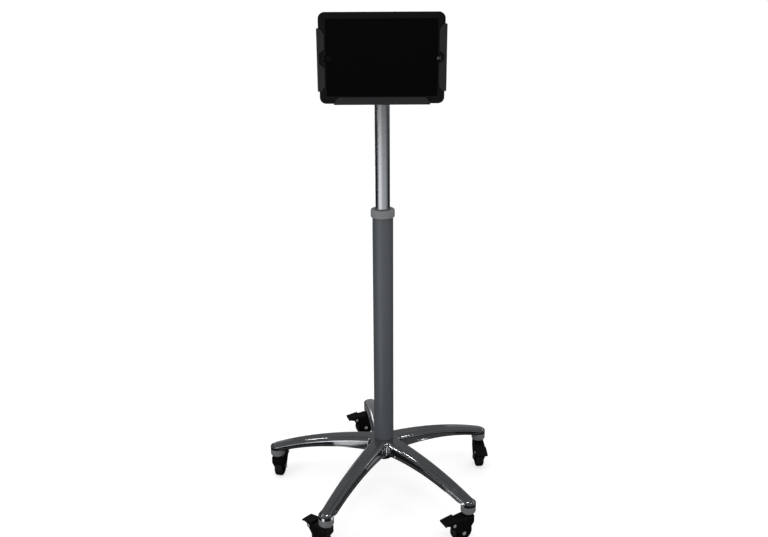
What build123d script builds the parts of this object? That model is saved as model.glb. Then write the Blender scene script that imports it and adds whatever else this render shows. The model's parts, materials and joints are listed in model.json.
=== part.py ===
from build123d import *
from math import acos, cos, pi, radians, sin, sqrt
import os

# Rolling stand for a tablet: five-arm base on locking casters, a painted column, a sliding pole
# and a tilting cradle. Millimetres, +Z up, origin on the floor under the column, tablet facing -Y.

# Fits and gaps
FIT_GAP = 0.05
SLIDE_GAP = 0.08
REST_GAP = 0.3

# Wheel of a caster
WHEEL_D = 50.0
WHEEL_W = 20.0
TREAD_SHOULDER_H = 1.0
TYRE_T = 6.0
RIM_T = 3.0
RIM_INSET = 1.0
WEB_T = 5.0
WHEEL_HUB_D = 15.0
WHEEL_HUB_PROUD = 0.5

# Hooded fork of a caster
TRAIL = 17.5
TREAD_CLEARANCE = 2.5
WHEEL_SIDE_CLEARANCE = 1.0
CHEEK_T = 3.2
HOOD_RISE = 16.0
HOOD_EDGE_FLAT = 0.4
NECK_D = 19.0
NECK_H = 17.0
NECK_RING_H = 2.2
NECK_RING_D = 19.0
AXLE_EYE_R = 9.5
PIN_BOSS_H = 0.8
PIN_BOSS_T = 2.6
AXLE_D = 6.0
PIN_HEAD_T = 1.5
PIN_HEAD_OVER = 1.4
PIN_HEAD_ROUND = 1.0

# Brake pedal
PEDAL_PIN_D = 5.0
PIVOT_OUT = 12.8
PIVOT_ANGLE = 47.0
EAR_R = 6.0
PEDAL_THROW = 15.0
PEDAL_SLOPE = 11.0
PEDAL_W = 28.7
PEDAL_T = 2.4
PEDAL_REAR = 10.0
PEDAL_SLOT_PLAY = 1.0
PEDAL_FRONT = 21.5
PEDAL_LIP_T = 2.4
PEDAL_LIP_DROP = 3.6
PEDAL_HUB_R = 5.2
PEDAL_SIDE_GAP = 0.7
PEDAL_GAP = 0.8
PEDAL_CORNER_R = 1.5
NOSE_R = 2.5
NOSE_REACH = 11.5
BRAKE_GAP = 0.4

# Caster stem
SWIVEL_FLANGE_H = 4.0
SWIVEL_FLANGE_D = 24.0
STEM_D = 11.0
STEM_LENGTH = 18.0
STEM_TIP_CHAMFER = 1.5
SWIVEL_PIN_D = 10.0
SWIVEL_PIN_LENGTH = 18.0

# Star base: each arm is an arch over a hollow underside
ARM_COUNT = 5
FIRST_ARM_ANGLE = 25.9
CASTER_CIRCLE_R = 274.0
CREST_RISE = 80.0
ARM_DROP = 47.0
ARM_ROOT_W = 41.0
ARM_TIP_W = 29.5
ARM_DEPTH_ROOT = 29.0
ARM_DEPTH_MID = 19.5
ARM_DEPTH_TIP = 17.5
ARM_ROOT_X = 55.0
ARM_CROWN_FLAT = 4.0
VALLEY_R = 8.0
RIM_LEDGE = 2.5
RIM_H = 3.0
BOSS_FOOT_R = 15.5
BOSS_TAPER_H = 3.0
SHELL_TOP = 6.5
SHELL_SIDE = 5.5
RIB_T = 4.0
RIB_COUNT = 3
KEEL_T = 7.0
KEEL_LENGTH = 92.0
KEEL_SINK = 1.0
TRAILS = (274.0, 199.0, 80.0, 137.0, 206.0)

# Hub
HUB_RISE = 73.0
HUB_R = 33.0
HUB_FOOT_R = 20.0
HUB_FOOT_RISE = 28.0
HUB_FOOT_H = 6.0
HUB_FLARE_H = 15.0
CAVITY_R = 14.0
CAVITY_DEPTH = 10.0
HUB_FLOOR_T = 7.0

# Base cap, bolt and washer
CAP_T = 4.0
CAP_CHAMFER = 1.2
CAP_RING_T = 2.4
CAP_RING_H = 6.0
BOLT_D = 10.0
BOLT_HEAD_AF = 17.0
BOLT_HEAD_H = 6.4
BOLT_GRIP = 22.0
WASHER_D = 21.0
WASHER_T = 2.0
BOLT_HOLE_PLAY = 0.25

# Column and its foot plug
COLUMN_D = 47.0
COLUMN_WALL = 2.0
COLUMN_LENGTH = 600.0
PLUG_THREAD_SPARE = 4.0
PLUG_CROWN_T = 4.0

# Collet and lock collar
COLLET_LENGTH = 40.0
COLLET_FLANGE_T = 2.0
COLLET_FLANGE_INSET = 0.4
COLLET_NOSE_H = 7.0
COLLET_NOSE_BASE_T = 4.0
COLLET_NOSE_TIP_T = 2.2
COLLET_SLOT_COUNT = 4
COLLET_SLOT_W = 1.6
COLLET_SLOT_DEPTH = 24.0
COLLAR_WALL = 3.6
COLLAR_SKIRT = 5.3
COLLAR_CAP_H = 2.1
COLLAR_TOP_R = 2.6
COLLAR_FOOT_R = 1.4
COLLAR_MOUTH_PLAY = 0.9
COLLAR_MOUTH_LAND = 0.5
COLLAR_BEVEL = 2.0

# Pole and its foot guide
POLE_D = 33.0
POLE_WALL = 2.0
POLE_LENGTH = 600.0
POLE_INSERTION = 295.0
FOOT_H = 40.0
FOOT_SPIGOT_H = 14.0
FOOT_BORE_D = 20.0
FOOT_CHAMFER = 1.5
SNAP_Z = 8.0
SNAP_W = 2.0
SNAP_H = 0.45
SNAP_PLAY = 0.3

# Pole head with the tongue for the tilt bolt
HEAD_SPIGOT_H = 30.0
HEAD_FLANGE_T = 4.0
HEAD_RISE = 39.0
TONGUE_T = 16.0
TONGUE_W = 24.0
TILT_BOLT_D = 8.0
TILT_HEAD_AF = 13.0
TILT_HEAD_H = 5.3
TILT_NUT_H = 6.5
TILT_NUT_COLLAR_H = 1.6
TILT_NUT_COLLAR_INSET = 1.0
TILT_THREAD_SPARE = 2.5
FRICTION_WASHER_T = 1.1
FRICTION_WASHER_D = 24.0
TONGUE_PLAY = 0.1

# Tilt bracket
EAR_REACH = 39.7
EAR_T = 4.0
TILT_EAR_R = 13.0
EAR_FOOT_W = 42.0
EAR_FOOT_T = 2.0
PLATE_W = 120.0
PLATE_T = 3.0
PLATE_CORNER_R = 8.0
SCREW_SQUARE_W = 75.0
FREE_SQUARE_W = 100.0
FREE_HOLE_D = 4.5
SCREW_D = 4.0
SCREW_HEAD_D = 7.6
SCREW_HEAD_H = 2.2
SCREW_HEAD_ROUND = 1.2

# Tablet in its case
CASE_W = 257.0
CASE_H = 182.0
CASE_T = 14.0
CASE_CORNER_R = 13.0
CASE_EDGE_R = 2.5
CASE_RIM_T = 2.0
CASE_END_WALL = 8.5
CASE_SIDE_WALL = 6.25
WINDOW_END_BORDER = 14.5
WINDOW_SIDE_BORDER = 14.0
WINDOW_RISE = 1.35
WINDOW_CORNER_R = 4.0
HOME_CUT_R = 9.0
CAMERA_CUT_R = 6.0
TABLET_T = 7.5
TABLET_CORNER_R = 10.0
TABLET_EDGE_R = 2.0
TABLET_PLAY = 0.1
GLASS_T = 0.9
GLASS_BORDER = 2.0
HOME_INSET = 10.3
HOME_D = 11.0
HOME_T = 1.6
HOME_TRAVEL = 0.5
HOME_PLAY = 0.1
CAMERA_INSET = 5.2
CAMERA_D = 5.0

# Folded tray
SHEET_T = 2.0
BEND_R = 3.0
LINER_T = 1.0
SIDE_LINER_T = 1.5
LIP_REACH = 15.3
SIDE_FOOT_CUT = 25.5
LEFT_TOP_CUT = 31.8
RIGHT_TOP_CUT = 23.5
LIP_CORNER_R = 5.0
SIDE_CUT_W = 7.5
SIDE_CUT_H = 10.5
NOTCH_FLARE = 6.6
HOME_NOTCH_TOP = 11.3
HOME_NOTCH_BOTTOM = -11.0
HOME_NOTCH_LIP = 4.7
CAMERA_NOTCH_TOP = 8.8
CAMERA_NOTCH_BOTTOM = -2.8
CAMERA_NOTCH_LIP = 6.2
BOTTOM_LIP_CUT = 29.0
BOTTOM_LIP_H = 15.7
BOTTOM_CUT_W = 9.5
BOTTOM_CUT_H = 11.5
PANEL_TOP_CUT = 9.0
PANEL_CUT_W = 30.0
LINER_MARGIN = 6.0

# Levels and radii worked out from the sizes above
wheel_r = WHEEL_D / 2
axle_z = wheel_r
neck_top_z = axle_z + wheel_r + HOOD_RISE
boss_z = neck_top_z + SWIVEL_FLANGE_H
cavity_half_w = WHEEL_W / 2 + WHEEL_SIDE_CLEARANCE
cheek_half_w = cavity_half_w + CHEEK_T
hood_inner_r = wheel_r + TREAD_CLEARANCE
pivot_reach = wheel_r + PIVOT_OUT
pivot_x = TRAIL + pivot_reach * cos(radians(PIVOT_ANGLE))
pivot_z = axle_z + pivot_reach * sin(radians(PIVOT_ANGLE))

crest_z = boss_z + CREST_RISE
crest_r = (CASTER_CIRCLE_R**2 + ARM_DROP**2) / (2 * ARM_DROP)
arm_edge_r = ARM_TIP_W / 2 - ARM_CROWN_FLAT
hub_top_z = boss_z + HUB_RISE
hub_foot_z = boss_z + HUB_FOOT_RISE
cavity_top_z = hub_foot_z + CAVITY_DEPTH
column_foot_z = cavity_top_z + HUB_FLOOR_T
column_r = COLUMN_D / 2
column_bore_r = column_r - COLUMN_WALL
column_top_z = column_foot_z + COLUMN_LENGTH

pole_r = POLE_D / 2
pole_bore_r = pole_r - POLE_WALL
pole_foot_z = column_top_z - POLE_INSERTION
pole_top_z = pole_foot_z + POLE_LENGTH
tilt_z = pole_top_z + HEAD_RISE

washer_x = TONGUE_T / 2 + TONGUE_PLAY
ear_x = washer_x + FRICTION_WASHER_T
ear_outer_x = ear_x + EAR_T
plate_back_y = -EAR_REACH
panel_back_y = plate_back_y - PLATE_T
panel_front_y = panel_back_y - SHEET_T
case_back_y = panel_front_y - LINER_T - REST_GAP
case_front_y = case_back_y - CASE_T
lip_back_y = case_front_y - REST_GAP
lip_front_y = lip_back_y - SHEET_T
tablet_w = CASE_W - 2 * CASE_END_WALL
tablet_h = CASE_H - 2 * CASE_SIDE_WALL
home_x = HOME_INSET - tablet_w / 2
camera_x = tablet_w / 2 - CAMERA_INSET
tray_half_w = CASE_W / 2 + REST_GAP + SIDE_LINER_T + SHEET_T
lip_edge_x = tray_half_w - LIP_REACH
tray_inner_bottom = -CASE_H / 2 - REST_GAP
tray_bottom = tray_inner_bottom - SHEET_T
side_bottom = SIDE_FOOT_CUT - CASE_H / 2
left_top = CASE_H / 2 - LEFT_TOP_CUT
right_top = CASE_H / 2 - RIGHT_TOP_CUT
panel_top = CASE_H / 2 - PANEL_TOP_CUT
glass_front_y = case_front_y + CASE_RIM_T + TABLET_PLAY
glass_back_y = glass_front_y + GLASS_T
tablet_back_y = glass_front_y + TABLET_T


os.makedirs("parts", exist_ok=True)


def save(piece, name):
    piece.part.label = name
    export_step(piece.part, f"parts/{name}.step")


def crest(x):
    """Height of an arm's crest at the distance x from the column's axis."""
    return crest_z - crest_r + sqrt(crest_r**2 - x**2)


def facing(y):
    """Upright plane at y, drawn as seen from the front, with its origin at the tilt bolt's height."""
    return Plane(origin=(0, y, tilt_z), x_dir=(1, 0, 0), z_dir=(0, -1, 0))


def hexagon(across_flats):
    return RegularPolygon(radius=across_flats / 2, side_count=6, major_radius=False)


# Star base: levels along one arm, drawn along +X
boss_inner_x = CASTER_CIRCLE_R - ARM_TIP_W / 2 - RIM_LEDGE
arm_end_x = CASTER_CIRCLE_R + ARM_TIP_W / 2 + RIM_LEDGE
arm_mid_x = (ARM_ROOT_X + CASTER_CIRCLE_R) / 2
root_low = (ARM_ROOT_X, crest(ARM_ROOT_X) - ARM_DEPTH_ROOT)
mid_low = (arm_mid_x, crest(arm_mid_x) - ARM_DEPTH_MID)
tip_low = (boss_inner_x, crest(boss_inner_x) - ARM_DEPTH_TIP)
rim_top_z = tip_low[1] + RIM_H
keel_start_x = (CAVITY_R + HUB_FOOT_R) / 2


def arm_plan(extra):
    """Tapered outline of an arm seen from above, with a round tip, wider by extra on each side."""
    root_half = ARM_ROOT_W / 2 + extra
    tip_half = ARM_TIP_W / 2 + extra
    with BuildSketch(Plane.XY) as plan:
        with BuildLine():
            Polyline(
                (CASTER_CIRCLE_R, tip_half), (0, root_half), (0, -root_half), (CASTER_CIRCLE_R, -tip_half)
            )
            ThreePointArc(
                (CASTER_CIRCLE_R, -tip_half), (CASTER_CIRCLE_R + tip_half, 0), (CASTER_CIRCLE_R, tip_half)
            )
        make_face()
    return plan.sketch


def star_plan(extra, valley_r):
    """All the arms' outlines run together, with rounded valleys between them."""
    outline = arm_plan(extra)
    with BuildSketch(Plane.XY) as plan:
        with PolarLocations(0, ARM_COUNT, start_angle=FIRST_ARM_ANGLE):
            add(outline)
        valleys = vertices().filter_by(lambda v: Vector(v.X, v.Y).length < CASTER_CIRCLE_R / 2)
        fillet(valleys, radius=valley_r)
    return plan.sketch


crown_plan = star_plan(0, VALLEY_R)
rim_plan = star_plan(RIM_LEDGE, VALLEY_R - RIM_LEDGE)
hollow_plan = arm_plan(-SHELL_SIDE)

# Crown: the star under a domed crest, rounded all along its upper edge, arched from below
with BuildPart() as crown:
    with Locations((0, 0, crest_z - crest_r)):
        Sphere(crest_r, rotation=(0, 90, 0))
    extrude(crown_plan, amount=crest_z, mode=Mode.INTERSECT)
    crest_face = faces().filter_by(GeomType.SPHERE).sort_by(SortBy.AREA)[-1]
    fillet(crest_face.edges(), radius=arm_edge_r)
    with BuildSketch(Plane.XZ):
        with BuildLine():
            Polyline((arm_end_x, 0), (0, 0), (0, root_low[1]), root_low)
            ThreePointArc(root_low, mid_low, tip_low)
            Polyline(tip_low, (arm_end_x, tip_low[1]), (arm_end_x, 0))
        make_face()
    revolve(axis=Axis.Z, mode=Mode.SUBTRACT)

# Rim: a ledge round the lower edge of the crown, under the same arch
with BuildPart() as rim:
    with BuildSketch(Plane.XZ):
        with BuildLine():
            ThreePointArc(tip_low, mid_low, root_low)
            Polyline(
                root_low, (0, root_low[1]), (0, root_low[1] + RIM_H), (ARM_ROOT_X, root_low[1] + RIM_H)
            )
            ThreePointArc(
                (ARM_ROOT_X, root_low[1] + RIM_H), (arm_mid_x, mid_low[1] + RIM_H), (boss_inner_x, rim_top_z)
            )
            Polyline((boss_inner_x, rim_top_z), (arm_end_x, rim_top_z), (arm_end_x, tip_low[1]), tip_low)
        make_face()
    revolve(axis=Axis.Z)
    extrude(rim_plan, amount=crest_z, mode=Mode.INTERSECT)

with BuildPart() as boss:
    with BuildSketch(Plane.XZ):
        with BuildLine():
            Polyline(
                (CASTER_CIRCLE_R, boss_z),
                (CASTER_CIRCLE_R + BOSS_FOOT_R, boss_z),
                (arm_end_x, boss_z + BOSS_TAPER_H),
                (arm_end_x, rim_top_z),
                (CASTER_CIRCLE_R, rim_top_z),
                close=True,
            )
        make_face()
    revolve(axis=Axis((CASTER_CIRCLE_R, 0, 0), (0, 0, 1)))

# The hollow underside follows the crest at the shell's thickness and is crossed by ribs
hollow_start_x = HUB_R + SHELL_SIDE
hollow_mid_x = (hollow_start_x + boss_inner_x - SHELL_SIDE) / 2
hollow_end_x = boss_inner_x - SHELL_SIDE
rib_pitch = (hollow_end_x - hollow_start_x) / (RIB_COUNT + 1)
with BuildPart() as arm_hollow:
    with BuildSketch(Plane.XZ):
        with BuildLine():
            ThreePointArc(
                (hollow_start_x, crest(hollow_start_x) - SHELL_TOP),
                (hollow_mid_x, crest(hollow_mid_x) - SHELL_TOP),
                (hollow_end_x, crest(hollow_end_x) - SHELL_TOP),
            )
            Polyline(
                (hollow_end_x, crest(hollow_end_x) - SHELL_TOP),
                (hollow_end_x, 0),
                (hollow_start_x, 0),
                (hollow_start_x, crest(hollow_start_x) - SHELL_TOP),
            )
        make_face()
    extrude(amount=ARM_ROOT_W, both=True)
    extrude(hollow_plan, amount=crest_z, mode=Mode.INTERSECT)
    with Locations(*[(hollow_start_x + rib_pitch * (rib + 1), 0, crest_z / 2) for rib in range(RIB_COUNT)]):
        Box(RIB_T, ARM_ROOT_W, crest_z, mode=Mode.SUBTRACT)

with BuildPart() as keel:
    with BuildSketch(Plane.XZ):
        with BuildLine():
            Polyline(
                (keel_start_x, hub_foot_z),
                (HUB_FOOT_R - KEEL_SINK, hub_foot_z),
                (KEEL_LENGTH, crest(KEEL_LENGTH) - ARM_DEPTH_MID),
                (KEEL_LENGTH, crest(KEEL_LENGTH) - SHELL_TOP / 2),
                (keel_start_x, crest(keel_start_x) - SHELL_TOP / 2),
                close=True,
            )
        make_face()
    extrude(amount=KEEL_T / 2, both=True)

with BuildPart() as star_base:
    add(crown.part)
    add(rim.part)
    with PolarLocations(0, ARM_COUNT, start_angle=FIRST_ARM_ANGLE):
        add(boss.part)
    with PolarLocations(0, ARM_COUNT, start_angle=FIRST_ARM_ANGLE):
        add(arm_hollow.part, mode=Mode.SUBTRACT)
    with PolarLocations(0, ARM_COUNT, start_angle=FIRST_ARM_ANGLE):
        add(keel.part)
    with BuildSketch(Plane.XZ):
        with BuildLine():
            Polyline(
                (0, hub_foot_z),
                (HUB_FOOT_R, hub_foot_z),
                (HUB_FOOT_R, hub_foot_z + HUB_FOOT_H),
                (HUB_R, hub_foot_z + HUB_FOOT_H + HUB_FLARE_H),
                (HUB_R, hub_top_z),
                (0, hub_top_z),
                close=True,
            )
        make_face()
    revolve(axis=Axis.Z)
    with BuildSketch(Plane.XY.offset(column_foot_z)):
        Circle(column_r + FIT_GAP)
    extrude(amount=crest_z, mode=Mode.SUBTRACT)
    with BuildSketch(Plane.XY.offset(hub_foot_z)):
        Circle(CAVITY_R)
    extrude(amount=CAVITY_DEPTH, mode=Mode.SUBTRACT)
    with BuildSketch(Plane.XY.offset(cavity_top_z)):
        Circle(BOLT_D / 2 + BOLT_HOLE_PLAY)
    extrude(amount=HUB_FLOOR_T, mode=Mode.SUBTRACT)
    with BuildSketch(Plane.XY.offset(boss_z)):
        with PolarLocations(CASTER_CIRCLE_R, ARM_COUNT, start_angle=FIRST_ARM_ANGLE):
            Circle(STEM_D / 2 + FIT_GAP)
    extrude(amount=STEM_LENGTH + REST_GAP, mode=Mode.SUBTRACT)
save(star_base, "star_base")

# Cap, bolt and washer under the hub, and the plug in the column's foot
with BuildPart() as base_cap:
    with BuildSketch(Plane.XY.offset(hub_foot_z - CAP_T)):
        Circle(HUB_FOOT_R)
    extrude(amount=CAP_T)
    chamfer(edges().group_by(Axis.Z)[0], length=CAP_CHAMFER)
    with BuildSketch(Plane.XY.offset(hub_foot_z)):
        Circle(CAVITY_R - FIT_GAP)
        Circle(CAVITY_R - FIT_GAP - CAP_RING_T, mode=Mode.SUBTRACT)
    extrude(amount=CAP_RING_H)
save(base_cap, "base_cap")

with BuildPart() as base_washer:
    with BuildSketch(Plane.XY.offset(cavity_top_z - WASHER_T)):
        Circle(WASHER_D / 2)
        Circle(BOLT_D / 2 + BOLT_HOLE_PLAY, mode=Mode.SUBTRACT)
    extrude(amount=WASHER_T)
save(base_washer, "base_washer")

with BuildPart() as base_bolt:
    with BuildSketch(Plane.XY.offset(cavity_top_z - WASHER_T - BOLT_HEAD_H)):
        hexagon(BOLT_HEAD_AF)
    extrude(amount=BOLT_HEAD_H)
    with BuildSketch(Plane.XY.offset(cavity_top_z - WASHER_T)):
        Circle(BOLT_D / 2)
    extrude(amount=WASHER_T + HUB_FLOOR_T + BOLT_GRIP)
save(base_bolt, "base_bolt")

with BuildPart() as column_plug:
    with BuildSketch(Plane.XY.offset(column_foot_z)):
        Circle(column_bore_r - FIT_GAP)
    extrude(amount=BOLT_GRIP + PLUG_THREAD_SPARE + PLUG_CROWN_T)
    with BuildSketch(Plane.XY.offset(column_foot_z)):
        Circle(BOLT_D / 2 + FIT_GAP)
    extrude(amount=BOLT_GRIP + PLUG_THREAD_SPARE, mode=Mode.SUBTRACT)
save(column_plug, "column_plug")

with BuildPart() as column_tube:
    with BuildSketch(Plane.XY.offset(column_foot_z)):
        Circle(column_r)
        Circle(column_bore_r, mode=Mode.SUBTRACT)
    extrude(amount=COLUMN_LENGTH)
save(column_tube, "column_tube")

# Collet in the column's mouth: a slotted sleeve with a tapered nose
collet_in_r = pole_r + FIT_GAP
nose_foot_z = column_top_z + COLLET_FLANGE_T
nose_top_z = nose_foot_z + COLLET_NOSE_H
with BuildPart() as collet:
    with BuildSketch(Plane.XZ):
        with BuildLine():
            Polyline(
                (collet_in_r, column_top_z - COLLET_LENGTH),
                (column_bore_r - FIT_GAP, column_top_z - COLLET_LENGTH),
                (column_bore_r - FIT_GAP, column_top_z),
                (column_r - COLLET_FLANGE_INSET, column_top_z),
                (column_r - COLLET_FLANGE_INSET, nose_foot_z),
                (collet_in_r + COLLET_NOSE_BASE_T, nose_foot_z),
                (collet_in_r + COLLET_NOSE_TIP_T, nose_top_z),
                (collet_in_r, nose_top_z),
                close=True,
            )
        make_face()
    revolve(axis=Axis.Z)
    with BuildSketch(Plane.XY.offset(nose_top_z)):
        with PolarLocations(column_r / 2, COLLET_SLOT_COUNT):
            Rectangle(column_r, COLLET_SLOT_W)
    extrude(amount=-COLLET_SLOT_DEPTH, mode=Mode.SUBTRACT)
save(collet, "collet")

# Lock collar: skirt over the column, cone over the collet's nose, bevelled mouth round the pole
collar_out_r = column_r + COLLAR_WALL
collar_foot_z = column_top_z - COLLAR_SKIRT
cone_foot_z = nose_foot_z + REST_GAP
cone_top_z = nose_top_z + REST_GAP
collar_top_z = cone_top_z + COLLAR_CAP_H
mouth_r = pole_r + COLLAR_MOUTH_PLAY
with BuildPart() as lock_collar:
    with BuildSketch(Plane.XZ):
        with BuildLine():
            Polyline(
                (column_r + SLIDE_GAP, collar_foot_z),
                (collar_out_r, collar_foot_z),
                (collar_out_r, collar_top_z),
                (mouth_r + COLLAR_BEVEL, collar_top_z),
                (mouth_r, cone_top_z + COLLAR_MOUTH_LAND),
                (mouth_r, cone_top_z),
                (collet_in_r + COLLET_NOSE_TIP_T + REST_GAP, cone_top_z),
                (collet_in_r + COLLET_NOSE_BASE_T + REST_GAP, cone_foot_z),
                (column_r + SLIDE_GAP, cone_foot_z),
                close=True,
            )
        make_face()
        outer_corners = vertices().group_by(Axis.X)[-1].sort_by(Axis.Y)
        fillet(outer_corners[-1], radius=COLLAR_TOP_R)
        fillet(outer_corners[0], radius=COLLAR_FOOT_R)
    revolve(axis=Axis.Z)
save(lock_collar, "lock_collar")

# Pole, with a groove near its lower end that the foot guide snaps into
with BuildPart() as pole:
    with BuildSketch(Plane.XY.offset(pole_foot_z)):
        Circle(pole_r)
        Circle(pole_bore_r, mode=Mode.SUBTRACT)
    extrude(amount=POLE_LENGTH)
    with BuildSketch(Plane.XY.offset(pole_foot_z + SNAP_Z - SNAP_PLAY)):
        Circle(pole_bore_r + SNAP_H + FIT_GAP)
    extrude(amount=SNAP_W + 2 * SNAP_PLAY, mode=Mode.SUBTRACT)
save(pole, "pole")

with BuildPart() as pole_foot:
    shoulder_z = pole_foot_z - REST_GAP
    spigot_r = pole_bore_r - FIT_GAP
    with BuildSketch(Plane.XY.offset(shoulder_z - FOOT_H)):
        Circle(column_bore_r - SLIDE_GAP)
    extrude(amount=FOOT_H)
    chamfer(edges().filter_by(GeomType.CIRCLE), length=FOOT_CHAMFER)
    with BuildSketch(Plane.XY.offset(shoulder_z)):
        Circle(spigot_r)
    extrude(amount=FOOT_SPIGOT_H + REST_GAP)
    with BuildSketch(Plane.XY.offset(pole_foot_z + SNAP_Z)):
        Circle(spigot_r + SNAP_H)
    extrude(amount=SNAP_W)
    with BuildSketch(Plane.XY.offset(shoulder_z - FOOT_H)):
        Circle(FOOT_BORE_D / 2)
    extrude(amount=FOOT_H + REST_GAP + FOOT_SPIGOT_H, mode=Mode.SUBTRACT)
save(pole_foot, "pole_foot")

# Pole head: spigot in the pole, flange on its end, and the tongue that the ears close round
with BuildPart() as pole_head:
    with BuildSketch(Plane.XY.offset(pole_top_z)):
        Circle(pole_r)
    extrude(amount=HEAD_FLANGE_T)
    with BuildSketch(Plane.XY.offset(pole_top_z)):
        Circle(pole_bore_r - FIT_GAP)
    extrude(amount=-HEAD_SPIGOT_H)
    with BuildSketch(Plane.YZ):
        with Locations((0, (pole_top_z + tilt_z) / 2)):
            Rectangle(TONGUE_W, HEAD_RISE)
        with Locations((0, tilt_z)):
            Circle(TONGUE_W / 2)
    extrude(amount=TONGUE_T / 2, both=True)
    with BuildSketch(Plane.YZ):
        with Locations((0, tilt_z)):
            Circle(TILT_BOLT_D / 2 + FIT_GAP)
    extrude(amount=TONGUE_T, both=True, mode=Mode.SUBTRACT)
save(pole_head, "pole_head")

# Tilt bracket: drilled plate with two ears
with BuildPart() as tilt_bracket:
    with BuildSketch(facing(plate_back_y)):
        RectangleRounded(PLATE_W, PLATE_W, PLATE_CORNER_R)
        with GridLocations(SCREW_SQUARE_W, SCREW_SQUARE_W, 2, 2):
            Circle(SCREW_D / 2 + FIT_GAP, mode=Mode.SUBTRACT)
        with GridLocations(FREE_SQUARE_W, FREE_SQUARE_W, 2, 2):
            Circle(FREE_HOLE_D / 2, mode=Mode.SUBTRACT)
    extrude(amount=PLATE_T)
    for side in (-1, 1):
        with BuildSketch(Plane.YZ.offset(side * ear_x)):
            with Locations((0, tilt_z)):
                Circle(TILT_EAR_R)
            with Locations((plate_back_y + EAR_FOOT_T / 2, tilt_z)):
                Rectangle(EAR_FOOT_T, EAR_FOOT_W)
            make_hull()
            with Locations((0, tilt_z)):
                Circle(TILT_BOLT_D / 2 + FIT_GAP, mode=Mode.SUBTRACT)
        extrude(amount=side * EAR_T)
save(tilt_bracket, "tilt_bracket")

with BuildPart() as friction_washers:
    for side in (-1, 1):
        with BuildSketch(Plane.YZ.offset(side * washer_x)):
            with Locations((0, tilt_z)):
                Circle(FRICTION_WASHER_D / 2)
                Circle(TILT_BOLT_D / 2 + FIT_GAP, mode=Mode.SUBTRACT)
        extrude(amount=side * FRICTION_WASHER_T)
save(friction_washers, "friction_washers")

with BuildPart() as tilt_bolt:
    with BuildSketch(Plane.YZ.offset(-ear_outer_x)):
        with Locations((0, tilt_z)):
            hexagon(TILT_HEAD_AF)
    extrude(amount=-TILT_HEAD_H)
    with BuildSketch(Plane.YZ.offset(-ear_outer_x)):
        with Locations((0, tilt_z)):
            Circle(TILT_BOLT_D / 2)
    extrude(amount=2 * ear_outer_x + TILT_NUT_H + TILT_NUT_COLLAR_H + TILT_THREAD_SPARE)
save(tilt_bolt, "tilt_bolt")

with BuildPart() as tilt_nut:
    with BuildSketch(Plane.YZ.offset(ear_outer_x)):
        with Locations((0, tilt_z)):
            hexagon(TILT_HEAD_AF)
    extrude(amount=TILT_NUT_H)
    with BuildSketch(Plane.YZ.offset(ear_outer_x + TILT_NUT_H)):
        with Locations((0, tilt_z)):
            Circle(TILT_HEAD_AF / 2 - TILT_NUT_COLLAR_INSET)
    extrude(amount=TILT_NUT_COLLAR_H)
    with BuildSketch(Plane.YZ.offset(ear_outer_x)):
        with Locations((0, tilt_z)):
            Circle(TILT_BOLT_D / 2 + FIT_GAP)
    extrude(amount=TILT_NUT_H + TILT_NUT_COLLAR_H, mode=Mode.SUBTRACT)
save(tilt_nut, "tilt_nut")

# Lips of the tray seen from the front: one on each side, cut back at its notch, and one below
tray_depth = panel_back_y - lip_front_y
tray_mid_y = (panel_back_y + lip_front_y) / 2
lip_plane = facing(lip_front_y - REST_GAP)
flange_x = tray_half_w + REST_GAP
bottom_lip_top = tray_bottom + BOTTOM_LIP_H
bottom_lip_half = CASE_W / 2 - BOTTOM_LIP_CUT


def side_lip(side, top, notch_top, notch_bottom, notch_lip):
    """Lip on one side, its inner edge cut back at both ends and at a flared notch."""
    notch_x = tray_half_w - notch_lip
    with BuildSketch() as lip:
        with BuildLine():
            Polyline(
                (side * flange_x, top),
                (side * (lip_edge_x + SIDE_CUT_W), top),
                (side * lip_edge_x, top - SIDE_CUT_H),
                (side * lip_edge_x, notch_top + NOTCH_FLARE),
                (side * notch_x, notch_top),
                (side * notch_x, notch_bottom),
                (side * lip_edge_x, notch_bottom - NOTCH_FLARE),
                (side * lip_edge_x, side_bottom + SIDE_CUT_H),
                (side * (lip_edge_x + SIDE_CUT_W), side_bottom),
                (side * flange_x, side_bottom),
                close=True,
            )
        make_face()
        fillet(vertices().filter_by(lambda v: abs(v.X) < tray_half_w), radius=LIP_CORNER_R)
    return lip.sketch


left_lip = side_lip(-1, left_top, HOME_NOTCH_TOP, HOME_NOTCH_BOTTOM, HOME_NOTCH_LIP)
right_lip = side_lip(1, right_top, CAMERA_NOTCH_TOP, CAMERA_NOTCH_BOTTOM, CAMERA_NOTCH_LIP)
with BuildSketch() as bottom_lip:
    with BuildLine():
        Polyline(
            (-bottom_lip_half, tray_bottom - REST_GAP),
            (bottom_lip_half, tray_bottom - REST_GAP),
            (bottom_lip_half, bottom_lip_top - BOTTOM_CUT_H),
            (bottom_lip_half - BOTTOM_CUT_W, bottom_lip_top),
            (BOTTOM_CUT_W - bottom_lip_half, bottom_lip_top),
            (-bottom_lip_half, bottom_lip_top - BOTTOM_CUT_H),
            close=True,
        )
    make_face()
    fillet(vertices().filter_by(lambda v: v.Y > tray_bottom), radius=LIP_CORNER_R)

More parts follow.
